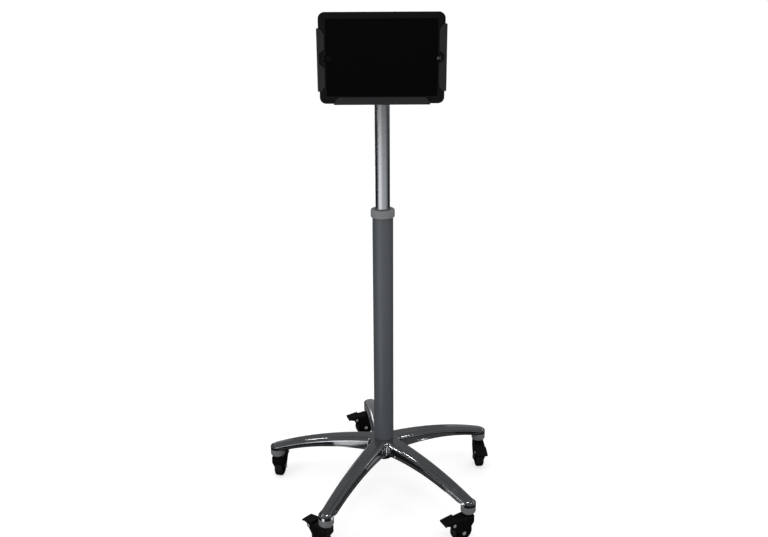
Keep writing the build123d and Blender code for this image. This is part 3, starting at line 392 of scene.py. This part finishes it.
# The tent's radius is its foot's radius times the root of one less the cube of the share of height.
rise = np.linspace(0, TENT_TOP, TENT_RINGS)[:, None]
hang_round("tent", "tent_cloth", TENT_RADIUS * np.sqrt(1 - rise**3), TENT_HEIGHT * rise,
           TENT_LEVELS, TENT_HEIGHT)
hang_round("floor_cloth", "floor_cloth", np.array([[CLOTH_INNER_R], [CLOTH_RADIUS]]), CLOTH_LIFT,
           even(CLOTH_LEVEL))
print("tent", TENT_HEIGHT, "m high over a cloth", 2 * CLOTH_RADIUS, "m wide")

# %% [markdown]
# ## Finishes
# Every finish starts from one recipe: a colour that drifts a little over the surface, a roughness
# that drifts with it, and a fine bump. Each reads the piece's own place in metres, so the grain has
# its real size. The edges that hands and screws rub get a paler or brighter tone. Painted images
# could say the same, but a recipe in real sizes fits any piece without unwrapping it.

# %% The finish recipe
EDGE_WIDTH, EDGE_SAMPLES = 0.0012, 4
EDGE_FLAT, EDGE_BENT = 0.995, 0.85
SLOW_DETAIL, FINE_DETAIL = 4.0, 3.0
SMOOTHEST, ROUGHEST = 0.02, 1.0
GRAIN_HEIGHT = 0.0004


def noise(tree, place, per_metre, detail):
    """Soft noise with about so many spots to the metre."""
    node = tree.nodes.new("ShaderNodeTexNoise")
    for socket, value in (("Vector", place), ("Scale", per_metre), ("Detail", detail)):
        feed(tree, node.inputs[socket], value)
    return node.outputs["Fac"]


def rubbed(tree, colour, edge, amount, grain):
    """The colour with its edges mixed towards their own: by how far the cosine between the normal
    and its mean over the edge's width falls below one, times the amount and the grain."""
    mean = tree.nodes.new("ShaderNodeBevel")
    mean.samples = EDGE_SAMPLES
    feed(tree, mean.inputs["Radius"], EDGE_WIDTH)
    cosine = tree.nodes.new("ShaderNodeVectorMath")
    cosine.operation = "DOT_PRODUCT"
    feed(tree, cosine.inputs[0], mean.outputs[0])
    feed(tree, cosine.inputs[1], tree.nodes.new("ShaderNodeNewGeometry").outputs["Normal"])
    bent = rescaled(tree, cosine.outputs["Value"], (EDGE_FLAT, EDGE_BENT), (0.0, amount))
    return mixed(tree, "RGBA", maths(tree, "MULTIPLY", bent, grain), colour, (*edge, 1))


def finish(name, colour, rough, metal=0.0, specular=0.5, drift=0.08, rough_drift=0.06, blotch=30.0,
           grain=900.0, bump=0.05, stretch=(1, 1, 1), edge=None, edge_amount=0.4):
    """One surface: its colour is the given one times one less the drift up to one plus the drift,
    as the slow noise runs from nought to one, its roughness swings by its own drift in the same
    way, and the fine noise is its bump. Blotch and grain are the spots of the slow and the fine
    noise to the metre."""
    material = bpy.data.materials.new(name)
    material.use_nodes = True
    tree = material.node_tree
    surface = tree.nodes["Principled BSDF"]
    feed(tree, surface.inputs["Metallic"], metal)
    feed(tree, surface.inputs["Specular IOR Level"], specular)
    place = tree.nodes.new("ShaderNodeMapping")
    feed(tree, place.inputs["Scale"], stretch)
    feed(tree, place.inputs["Vector"], tree.nodes.new("ShaderNodeTexCoord").outputs["Object"])
    slow = noise(tree, place.outputs[0], blotch, SLOW_DETAIL)
    fine = noise(tree, place.outputs[0], grain, FINE_DETAIL)
    darker, lighter = ((*(min(1.0, part * tone) for part in colour), 1)
                       for tone in (1 - drift, 1 + drift))
    shade = mixed(tree, "RGBA", slow, darker, lighter)
    if edge is not None:
        shade = rubbed(tree, shade, edge, edge_amount, fine)
    feed(tree, surface.inputs["Base Color"], shade)
    swing = (max(SMOOTHEST, rough - rough_drift), min(ROUGHEST, rough + rough_drift))
    feed(tree, surface.inputs["Roughness"], rescaled(tree, slow, (0.0, 1.0), swing))
    relief = tree.nodes.new("ShaderNodeBump")
    for socket, value in (("Strength", bump), ("Distance", GRAIN_HEIGHT), ("Height", fine)):
        feed(tree, relief.inputs[socket], value)
    feed(tree, surface.inputs["Normal"], relief.outputs[0])
    return material


print("edges are", EDGE_WIDTH * 1000, "mm wide")

# %% [markdown]
# ### Metals and paints
# The star is cast and buffed to a mirror, the pole is drawn aluminium with a satin skin that
# streaks along its length, and the column and the tray are powder coated steel. Bright metal shows
# little but what it mirrors, so it is metallic all through. Paint and plated steel keep some colour
# of their own under the shine, and are a little paler where their edges are rubbed.

# %% Metals and paints
METALS_AND_PAINTS = {
    "polished_casting": dict(colour=(0.56, 0.57, 0.58), rough=0.07, metal=1.0, drift=0.04,
                             rough_drift=0.02, blotch=12, grain=40, bump=0.003),
    "satin_aluminium": dict(colour=(0.52, 0.53, 0.54), rough=0.24, metal=1.0, drift=0.05, blotch=10,
                            grain=300, bump=0.006, stretch=(6, 6, 0.12)),
    "collar_metal": dict(colour=(0.19, 0.195, 0.205), rough=0.46, drift=0.04, grain=1200, bump=0.06,
                         edge=(0.3, 0.3, 0.31)),
    "steel": dict(colour=(0.60, 0.60, 0.61), rough=0.35, metal=0.6, grain=500, bump=0.05,
                  edge=(0.7, 0.7, 0.7)),
    "stem_steel": dict(colour=(0.45, 0.45, 0.46), rough=0.25, metal=1.0, grain=400, bump=0.04),
    "tablet_metal": dict(colour=(0.13, 0.13, 0.135), rough=0.4, metal=1.0, grain=2500, bump=0.05),
    "column_paint": dict(colour=(0.078, 0.086, 0.094), rough=0.36, drift=0.05, blotch=18,
                         grain=1400, bump=0.08, edge=(0.2, 0.2, 0.21), edge_amount=0.3),
    "black_paint": dict(colour=(0.014, 0.014, 0.0155), rough=0.48, specular=0.35, drift=0.10,
                        grain=1500, bump=0.25, edge=(0.05, 0.05, 0.055)),
}
finishes = {name: finish(name, **look) for name, look in METALS_AND_PAINTS.items()}
print(len(METALS_AND_PAINTS), "metals and paints")

# %% [markdown]
# ### Plastics, rubber and glass
# The caster housings and pedals are black nylon with a grain from the mould, the case is soft and
# takes hardly any shine, and the tablet's glass is black behind a smooth front. Glass could be
# made see-through, but nothing behind this one is ever lit, so a dark polished face looks the same.

# %% Plastics, rubber and glass
PLASTICS_AND_GLASS = {
    "white_plastic": dict(colour=(0.70, 0.70, 0.68), rough=0.5, drift=0.04, grain=700, bump=0.05),
    "black_plastic": dict(colour=(0.0045, 0.0045, 0.005), rough=0.32, specular=0.22, drift=0.12,
                          grain=1300, bump=0.12, edge=(0.02, 0.02, 0.022)),
    "pedal_plastic": dict(colour=(0.0045, 0.0045, 0.005), rough=0.45, specular=0.2, drift=0.12,
                          grain=1500, bump=0.15, edge=(0.02, 0.02, 0.022)),
    "button_plastic": dict(colour=(0.004, 0.004, 0.0045), rough=0.15, specular=0.25, drift=0.1,
                           grain=300, bump=0.02),
    "wheel_tread": dict(colour=(0.010, 0.010, 0.0105), rough=0.55, drift=0.15, grain=800,
                        bump=0.12),
    "case_rubber": dict(colour=(0.0045, 0.0045, 0.005), rough=0.5, specular=0.12, drift=0.10,
                        grain=1800, bump=0.12),
    "liner_foam": dict(colour=(0.02, 0.02, 0.02), rough=0.85, drift=0.15, grain=1500, bump=0.4),
    "dark_glass": dict(colour=(0.0015, 0.0015, 0.0017), rough=0.04, specular=0.3, drift=0.2,
                       rough_drift=0.015, blotch=4, grain=20, bump=0.0),
    "lens_glass": dict(colour=(0.02, 0.02, 0.03), rough=0.05, drift=0.2, rough_drift=0.02,
                       grain=100, bump=0.0),
}
finishes |= {name: finish(name, **look) for name, look in PLASTICS_AND_GLASS.items()}
print(len(PLASTICS_AND_GLASS), "plastics, rubbers and glasses")

# %% [markdown]
# ### Matt rings and underside
# The buffing wheel reaches the top of the cast star, and little else. The ring round each caster's
# stem and the ribbed underside stay as they left the blasting cabin: even, grey and matt. So one
# more tone is mixed into the polished finish, low down at the arms' ends and wherever the surface
# faces the floor. A second material would need the casting cut in two.

# %% Matt rings and underside
RING_TOP, RING_REACH, RING_FADE = 0.0868, 0.2545, 0.0012
UNDERSIDE_MATT, UNDERSIDE_BRIGHT = -0.35, -0.2
MATT_TONE, MATT_ROUGH, MATT_METAL = (0.15, 0.155, 0.16, 1), 0.5, 0.0
LEVEL_ONLY = (1, 1, 0)


def add_matt_zone(material):
    """Mixes a matt grey into a polished metal: by the share below the ring's top times the share
    past the ring's reach from the column's axis, or by how far the normal points down, whichever
    is more."""
    tree = material.node_tree
    surface = tree.nodes["Principled BSDF"]
    place = tree.nodes.new("ShaderNodeTexCoord").outputs["Object"]
    height, facing = (tree.nodes.new("ShaderNodeSeparateXYZ") for _ in range(2))
    level, reach = (tree.nodes.new("ShaderNodeVectorMath") for _ in range(2))
    level.operation, reach.operation = "MULTIPLY", "LENGTH"
    feed(tree, height.inputs[0], place)
    feed(tree, facing.inputs[0], tree.nodes.new("ShaderNodeNewGeometry").outputs["Normal"])
    feed(tree, level.inputs[0], place)
    feed(tree, level.inputs[1], LEVEL_ONLY)
    feed(tree, reach.inputs[0], level.outputs[0])
    low = rescaled(tree, height.outputs["Z"], (RING_TOP, RING_TOP + RING_FADE), (1.0, 0.0))
    outer = rescaled(tree, reach.outputs["Value"], (RING_REACH - RING_FADE, RING_REACH))
    under = rescaled(tree, facing.outputs["Z"], (UNDERSIDE_MATT, UNDERSIDE_BRIGHT), (1.0, 0.0))
    share = maths(tree, "MAXIMUM", maths(tree, "MULTIPLY", low, outer), under)
    for name, kind, matt in (("Base Color", "RGBA", MATT_TONE), ("Roughness", "FLOAT", MATT_ROUGH),
                             ("Metallic", "FLOAT", MATT_METAL)):
        socket = surface.inputs[name]
        polished = socket.links[0].from_socket if socket.is_linked else socket.default_value
        feed(tree, socket, mixed(tree, kind, share, polished, matt))


add_matt_zone(finishes["polished_casting"])
print("matt below", RING_TOP, "m and past", RING_REACH, "m")

# %% [markdown]
# ## Turned and threaded pieces
# Screws, bolts, nuts and tyres start as round bar or as a ring, so one recipe makes them all: a
# list of rings along an axis. A ring's radius may change with the angle round the axis, which gives
# a hexagon or a thread. A boolean cut would also work, but here the shape stays one formula on one
# clean grid.

# %% One recipe for turned pieces
ROUND_STEPS = 72
WELD = 1e-7
SHARP_ANGLE = 32
UPWARD = np.array((0, 0, 1.0))
around = np.linspace(0, 2 * np.pi, ROUND_STEPS, endpoint=False)


def turned(name, rings, centre, axis, closed=False):
    """A mesh through rings, each with its height along the axis and its radius. A point is the
    centre, plus the axis times the height, plus the radius times two parts: the cosine of the angle
    along the level side, and the sine of it along the line that is square to axis and side. An end
    ring of no radius becomes one point, and closed rings join up like a tyre's section."""
    axis = np.array(axis) / np.linalg.norm(axis)
    side = np.cross(axis, UPWARD)
    side /= np.linalg.norm(side)
    height, radius = (np.array([value + 0 * around for value in column])[..., None]
                      for column in zip(*rings))
    spoke = side * np.cos(around)[:, None] + np.cross(axis, side) * np.sin(around)[:, None]
    points = np.array(centre) + axis * height + radius * spoke
    mesh = grid_mesh(name, points, close_around=True, close_along=closed)
    work = bmesh.new()
    work.from_mesh(mesh)
    bmesh.ops.remove_doubles(work, verts=work.verts, dist=WELD)
    bmesh.ops.dissolve_degenerate(work, edges=work.edges, dist=WELD)
    bmesh.ops.recalc_face_normals(work, faces=work.faces)
    work.to_mesh(mesh)
    work.free()
    return mesh


def hexagon(across_flats):
    """Radius of a hexagon at each angle: half the flats' distance over the cosine of the angle that
    is left after taking away the nearest sixth of a turn."""
    sixth = np.pi / 3
    return across_flats / 2 / np.cos((around + sixth / 2) % sixth - sixth / 2)


def joined(name, meshes):
    """One mesh from several."""
    work = bmesh.new()
    for mesh in meshes:
        work.from_mesh(mesh)
        bpy.data.meshes.remove(mesh)
    whole = bpy.data.meshes.new(name)
    work.to_mesh(whole)
    work.free()
    return whole


def add_piece(name, mesh, slot, body, replaced=()):
    """Shows the mesh in the slot's finish, riding on the body, in place of the nodes it stands for.
    Faces shade smooth, with sharp edges where two of them meet at more than the sharp angle."""
    mesh.shade_smooth()
    mesh.set_sharp_from_angle(angle=radians(SHARP_ANGLE))
    piece = put_in_scene(name, mesh, finishes[slot])
    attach(piece, body)
    if replaced:
        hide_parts(*replaced)
    print(name, len(mesh.polygons), "faces")


print(ROUND_STEPS, "steps to a turn")

# %% [markdown]
# ### Screws that hold the tray
# Four button-head screws go through the tilt plate and the tray. A button head is a low dome, and
# the key's hexagon socket is pressed into it, so the rings climb over the dome, step in to the
# socket's rim, and go down its six walls to a shallow drill point.

# %% Tray screws
SCREW_R, SCREW_HEAD_R, SCREW_HEAD_H = 0.002, 0.0038, 0.0022
HEAD_RIM_H, HEAD_RIM_IN = 0.0003, 0.0001
DOME_ANGLE, DOME_FULLNESS, DOME_STEPS = 62, 0.7, 8
SOCKET_FLATS, SOCKET_DEPTH, SOCKET_LEAD, DRILL_POINT = 0.0025, 0.0013, 0.00018, 0.0002


def button_screw(centre, length):
    """Rings of the shank, the dome and the socket. The dome's height follows the sine of the climb
    from its rim, and its radius a root of the cosine, which keeps its shoulder full."""
    climb = np.radians(np.linspace(0, DOME_ANGLE, DOME_STEPS))
    dome_h = HEAD_RIM_H + (SCREW_HEAD_H - HEAD_RIM_H) * np.sin(climb) / np.sin(climb[-1])
    dome_r = SCREW_HEAD_R * np.cos(climb) ** DOME_FULLNESS
    socket = hexagon(SOCKET_FLATS)
    floor_h = SCREW_HEAD_H - SOCKET_DEPTH
    rings = [(-length, 0), (-length, SCREW_R), (0, SCREW_R), (0, SCREW_HEAD_R - HEAD_RIM_IN),
             *zip(dome_h, dome_r), (SCREW_HEAD_H, socket + SOCKET_LEAD),
             (SCREW_HEAD_H - SOCKET_LEAD, socket), (floor_h, socket), (floor_h - DRILL_POINT, 0)]
    return turned("screw", rings, centre, (0, 1, 0))


low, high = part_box("tray_screws")
seat = high.y - SCREW_HEAD_H
screws = [button_screw((x, seat, z), seat - low.y)
          for x in (low.x + SCREW_HEAD_R, high.x - SCREW_HEAD_R)
          for z in (low.z + SCREW_HEAD_R, high.z - SCREW_HEAD_R)]
add_piece("tray_button_screws", joined("tray_button_screws", screws),
          slot_of["tray_screws"], "head", ["tray_screws"])

# %% [markdown]
# ### Tilt bolt
# The head turns on this bolt, so it shows on both sides. A hexagon is trimmed by a cone, which
# leaves curved bright corners: each ring is the smaller of the hexagon and a circle that grows away
# from the face. The shank ends in a thread, and a few turns of it stand out of the nut.

# %% Tilt bolt
TILT_FLATS, TRIM_H, TRIM_STEPS = 0.013, 0.0011, 5
FACE_SHARE = 0.47
CORNER_R, FACE_R = TILT_FLATS / np.sqrt(3), FACE_SHARE * TILT_FLATS
BOLT_R, BOLT_HEAD_H = 0.004, 0.0053
BOLT_POINT_H, BOLT_POINT_IN = 0.0005, 0.0006
BOLT_PITCH, THREAD_DEPTH, PITCH_STEPS = 0.00125, 0.0005, 8


def trimmed_hexagon(start, end):
    """Rings of a hexagon whose end at start is trimmed by a cone: its radius is the smaller of the
    hexagon's and one that grows in a straight line from the face's to the corners'."""
    return [(start + (end - start) * share,
             np.minimum(hexagon(TILT_FLATS), FACE_R + (CORNER_R - FACE_R) * share))
            for share in np.linspace(0, 1, TRIM_STEPS)]


def threaded(start, end, outer):
    """Rings of a thread: the radius falls from outer by the thread's depth between two crests, and
    a crest climbs one pitch along the axis in each turn. It fades out at both ends."""
    heights = np.arange(start, end, BOLT_PITCH / PITCH_STEPS)[:, None]
    fade = np.clip(np.minimum(heights - start, end - heights) / BOLT_PITCH, 0, 1)
    phase = (heights / BOLT_PITCH - around / (2 * np.pi)) % 1
    radius = outer - THREAD_DEPTH * fade * (1 - np.abs(2 * phase - 1))
    return list(zip(heights[:, 0], radius))


low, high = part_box("tilt_bolt")
nut_low, nut_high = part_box("tilt_nut")
middle_z = (low.z + high.z) / 2
length = high.x - low.x
thread_start, thread_end = nut_low.x - low.x, length - BOLT_POINT_H
bolt_rings = [(0, 0), *trimmed_hexagon(0, TRIM_H), (BOLT_HEAD_H, hexagon(TILT_FLATS)),
              (BOLT_HEAD_H, BOLT_R), (thread_start, BOLT_R),
              *threaded(thread_start, thread_end, BOLT_R),
              (thread_end, BOLT_R), (length, BOLT_R - BOLT_POINT_IN), (length, 0)]
bolt_mesh = turned("tilt_hex_bolt", bolt_rings, (low.x, 0, middle_z), (1, 0, 0))
add_piece("tilt_hex_bolt", bolt_mesh, slot_of["tilt_bolt"], "head", ["tilt_bolt"])

# %% [markdown]
# ### Locking nut
# A nut on a joint that moves must not shake loose, so this one ends in a round collar that holds a
# locking insert. It is a ring: its section goes round the bolt, and its inner wall is the bore.

# %% Locking nut
NUT_H, NUT_COLLAR_R, NUT_BORE_R = 0.0065, 0.0055, 0.00405
NUT_EDGE, NUT_EDGE_STEP = 0.0006, 0.0002

nut_length = nut_high.x - nut_low.x
nut_rings = [(0, NUT_BORE_R), *trimmed_hexagon(0, TRIM_H),
             *trimmed_hexagon(NUT_H, NUT_H - TRIM_H)[::-1], (NUT_H, NUT_COLLAR_R),
             (nut_length - NUT_EDGE, NUT_COLLAR_R),
             (nut_length - NUT_EDGE_STEP, NUT_COLLAR_R - NUT_EDGE_STEP),
             (nut_length, NUT_COLLAR_R - NUT_EDGE), (nut_length, NUT_BORE_R)]
nut_mesh = turned("tilt_lock_nut", nut_rings, (nut_low.x, 0, middle_z), (1, 0, 0), closed=True)
add_piece("tilt_lock_nut", nut_mesh, slot_of["tilt_nut"], "head", ["tilt_nut"])

# %% [markdown]
# ### Ring round the camera
# A bright ring as wide as a pencil line frames the camera's lens, and catches the light where the
# glass beside it stays black. Its section is a small arch that stands just proud of the glass. A
# whole round section would do, but half of it would be sunk in the glass and never seen.

# %% Camera ring
LENS_RING_OUTER_R, LENS_RING_INNER_R, LENS_RING_PROUD = 0.0025, 0.0017, 0.00015
ARCH_STEPS = 7

low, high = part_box("camera_lens")
lens_middle = ((low.x + high.x) / 2, low.y, (low.z + high.z) / 2)
arch = np.linspace(0, np.pi, ARCH_STEPS)
arch_middle = (LENS_RING_OUTER_R + LENS_RING_INNER_R) / 2
arch_half = (LENS_RING_OUTER_R - LENS_RING_INNER_R) / 2
arch_rings = list(zip(LENS_RING_PROUD * np.sin(arch), arch_middle + arch_half * np.cos(arch)))
ring_mesh = turned("camera_ring", arch_rings, lens_middle, (0, -1, 0), closed=True)
add_piece("camera_ring", ring_mesh, "stem_steel", "tablet")

# %% [markdown]
# ### Tyres
# The casters run on soft black tyres with rounded shoulders. Three narrow grooves run round the
# tread, as the mould leaves them. A bump could draw the grooves, but wouldn't notch the tyre's
# outline. So each tyre is one closed section carried round its wheel's own axle, which the frame's
# joint gives.

# %% Tyres with grooves
TYRE_HALF_W, TYRE_R, TYRE_BORE_R = 0.010, 0.025, 0.019
SHOULDER_R, SHOULDER_STEPS = 0.005, 7
GROOVE_PLACES = (-0.0032, 0.0, 0.0032)
GROOVE_HALF_W, GROOVE_DEPTH = 0.0004, 0.0005
CASTERS = range(1, 6)


def tyre_rings():
    """The section from one bore edge over both shoulders to the other: each shoulder is a quarter
    circle, and each groove steps the tread's radius down and up again."""
    turn = np.radians(np.linspace(0, 90, SHOULDER_STEPS))
    flat = TYRE_HALF_W - SHOULDER_R
    left = list(zip(-flat - SHOULDER_R * np.cos(turn), TYRE_R - SHOULDER_R * (1 - np.sin(turn))))
    tread = []
    for place in GROOVE_PLACES:
        tread += [(place - GROOVE_HALF_W, TYRE_R),
                  (place - GROOVE_HALF_W / 2, TYRE_R - GROOVE_DEPTH),
                  (place + GROOVE_HALF_W / 2, TYRE_R - GROOVE_DEPTH),
                  (place + GROOVE_HALF_W, TYRE_R)]
    right = [(-h, r) for h, r in left[::-1]]
    return [(-TYRE_HALF_W, TYRE_BORE_R), *left, *tread, *right, (TYRE_HALF_W, TYRE_BORE_R)]


for k in CASTERS:
    roll = joints[f"wheel_{k}_roll"]
    name = f"grooved_tyre_{k}"
    tyre_mesh = turned(name, tyre_rings(), roll["pos_m"], roll["axis"], closed=True)
    add_piece(name, tyre_mesh, slot_of[f"tyre_{k}"], f"wheel_{k}", [f"tyre_{k}"])

# %% [markdown]
# ### Grip ribs on the pedals
# A shoe presses the brake pedal down, so its top has low ribs across it. Each rib is a thin bar
# with round ends, sunk into the moulded plate so that it stands a little proud of it. The plate
# could be cut and raised instead, but bars of their own need no cut, and tip with the pedal too.

# %% Pedal ribs
RIB_R, RIB_HALF_L, RIB_SUNK, RIB_END_STEPS = 0.0006, 0.0112, 0.00025, 4
RIB_PLACES = (0.0085, 0.0120, 0.0155, 0.0190)
PEDAL_TOP, PEDAL_SLOPE = 0.0092, radians(-11)


def rib_rings():
    """A bar along its own axis: the radius at each end grows as a quarter circle from nought."""
    turn = np.radians(np.linspace(0, 90, RIB_END_STEPS))
    end = list(zip(RIB_R * (1 - np.cos(turn)) - RIB_HALF_L, RIB_R * np.sin(turn)))
    return end + [(-h, r) for h, r in end[::-1]]


for k in CASTERS:
    tip, swivel = joints[f"brake_{k}_tip"], joints[f"caster_{k}_swivel"]
    pin = np.array(tip["pos_m"])
    trail = (pin - np.array(swivel["pos_m"])) * LEVEL_ONLY
    trail /= np.linalg.norm(trail)
    along = trail * np.cos(PEDAL_SLOPE) + UPWARD * np.sin(PEDAL_SLOPE)
    normal = UPWARD * np.cos(PEDAL_SLOPE) - trail * np.sin(PEDAL_SLOPE)
    lift = normal * (PEDAL_TOP - RIB_SUNK)
    ribs = [turned("rib", rib_rings(), pin + along * place + lift, tip["axis"])
            for place in RIB_PLACES]
    name = f"pedal_ribs_{k}"
    add_piece(name, joined(name, ribs), slot_of[f"pedal_{k}"], f"brake_{k}")

# %% [markdown]
# ## Dress every piece
# The record says which finish each piece of the frame has. Pieces that share a finish share one
# material, so a change to a recipe reaches all of them.

# %% Give every node its finish
for name, node in nodes.items():
    node.data.materials.clear()
    node.data.materials.append(finishes[slot_of[name]])
print("finished", len(nodes), "nodes with", len(finishes), "finishes")
